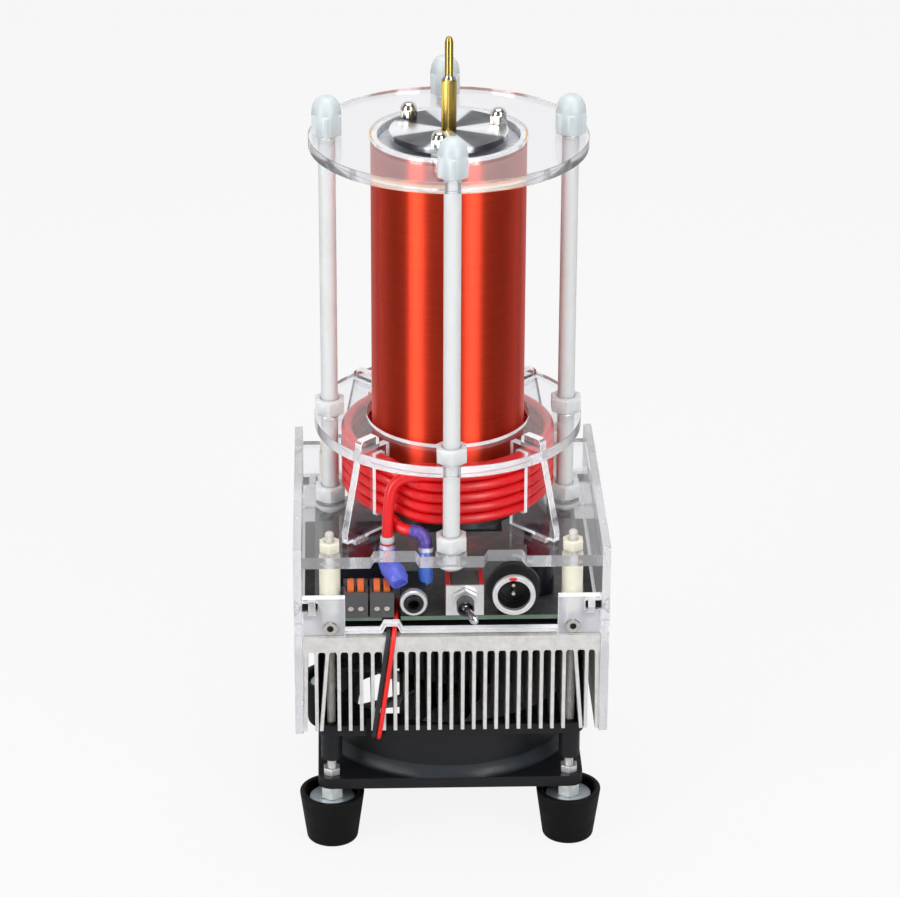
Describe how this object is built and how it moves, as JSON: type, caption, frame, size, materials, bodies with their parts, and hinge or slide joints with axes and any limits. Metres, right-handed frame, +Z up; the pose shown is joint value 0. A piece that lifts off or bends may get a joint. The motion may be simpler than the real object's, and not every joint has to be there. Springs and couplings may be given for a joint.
{
  "type": "desktop resonant transformer",
  "caption": "Desktop resonant transformer: fan-cooled heatsink base, clear deck, nylon posts, thick red primary and tall fine-wire secondary with a point electrode.",
  "frame": {"origin": "on the floor under the secondary's axis, midway between the four feet", "axes": "+Z up along the secondary, controls face -Y, +X to the right as seen from the controls"},
  "size_m": [0.107, 0.1135, 0.2795],
  "materials": {
    "rubber_feet": "matt black rubber",
    "steel_washers": "zinc",
    "chrome_hardware": "bright nickel plate",
    "black_steel": "black oxide",
    "fan_plastic": "dark grey-black moulded",
    "sink_aluminium": "extruded, satin",
    "board_laminate": "dark solder mask, green edge",
    "nylon": "milky translucent nylon",
    "nylon_aged": "yellowish translucent nylon",
    "acrylic": "clear cast sheet, polished edges",
    "component_black": "moulded",
    "terminal_grey": "grey moulded",
    "orange_plastic": "orange moulded",
    "switch_red": "red moulded",
    "red_wire": "silicone insulation",
    "blue_sleeve": "heat-shrink sleeve",
    "former_plastic": "white tube",
    "enamel_wire": "enamelled copper wire, close wound",
    "turned_aluminium": "face-turned",
    "brass": "turned brass",
    "insert_black": "moulded insert",
    "bright_fasteners": "nickel-plated"
  },
  "bodies": {
    "base": {"foot_front_left": "rubber_feet", "foot_front_right": "rubber_feet", "foot_rear_left": "rubber_feet", "foot_rear_right": "rubber_feet", "foot_washers": "steel_washers", "foot_standoffs": "chrome_hardware", "corner_bolts": "chrome_hardware", "corner_standoffs": "chrome_hardware", "corner_spacers": "nylon_aged", "corner_nuts": "nylon_aged", "fan_frame": "fan_plastic", "heatsink": "sink_aluminium", "circuit_board": "board_laminate", "board_standoffs": "chrome_hardware", "capacitors": "component_black", "power_transistors": "component_black", "terminal_block_left": "terminal_grey", "terminal_block_right": "terminal_grey", "audio_jack": "component_black", "toggle_body": "switch_red", "toggle_frame": "chrome_hardware", "power_socket_shell": "chrome_hardware", "power_socket_insert": "insert_black", "front_panel": "acrylic", "rear_panel": "acrylic", "side_plate_left": "acrylic", "side_plate_right": "acrylic", "deck_plate": "acrylic", "post_right": "nylon", "post_rear": "nylon", "post_left": "nylon", "post_front": "nylon", "post_nuts": "nylon", "cap_nuts": "nylon", "lower_ring_plate": "acrylic", "upper_ring_plate": "acrylic", "primary_support_front_left": "acrylic", "primary_support_front_right": "acrylic", "primary_support_rear_right": "acrylic", "primary_support_rear_left": "acrylic", "primary_coil": "red_wire", "primary_sleeves": "blue_sleeve", "secondary_former": "former_plastic", "secondary_winding": "enamel_wire", "top_cap": "former_plastic", "electrode_disc": "turned_aluminium", "electrode_screws": "black_steel", "electrode_cap_nuts": "bright_fasteners", "needle_standoff": "brass", "discharge_needle": "brass", "button_screws": "black_steel", "panel_screws": "black_steel", "m3_nuts": "bright_fasteners", "fan_lead": "red_wire"},
    "rotor": {"fan_rotor": "fan_plastic"},
    "switch_lever": {"toggle_lever": "chrome_hardware"},
    "lever_left_outer": {"terminal_lever_left_outer": "orange_plastic"},
    "lever_left_inner": {"terminal_lever_left_inner": "orange_plastic"},
    "lever_right_outer": {"terminal_lever_right_outer": "orange_plastic"},
    "lever_right_inner": {"terminal_lever_right_inner": "orange_plastic"}
  },
  "joints": [
    {"name": "fan_spin", "type": "hinge", "parent": "base", "child": "rotor", "pos_m": [0, 0, 0.0335], "axis": [0, 0, 1], "continuous": true},
    {"name": "toggle", "type": "hinge", "parent": "base", "child": "switch_lever", "pos_m": [0.0046, -0.0498, 0.0936], "axis": [0, 0, 1], "range_deg": [-30, 0]},
    {"name": "lever_left_outer_press", "type": "slide", "parent": "base", "child": "lever_left_outer", "axis": [0, 0, -1], "range_m": [0, 0.0012], "stiffness_N_per_m": 400},
    {"name": "lever_left_inner_press", "type": "slide", "parent": "base", "child": "lever_left_inner", "axis": [0, 0, -1], "range_m": [0, 0.0012], "stiffness_N_per_m": 400},
    {"name": "lever_right_outer_press", "type": "slide", "parent": "base", "child": "lever_right_outer", "axis": [0, 0, -1], "range_m": [0, 0.0012], "stiffness_N_per_m": 400},
    {"name": "lever_right_inner_press", "type": "slide", "parent": "base", "child": "lever_right_inner", "axis": [0, 0, -1], "range_m": [0, 0.0012], "stiffness_N_per_m": 400}
  ]
}
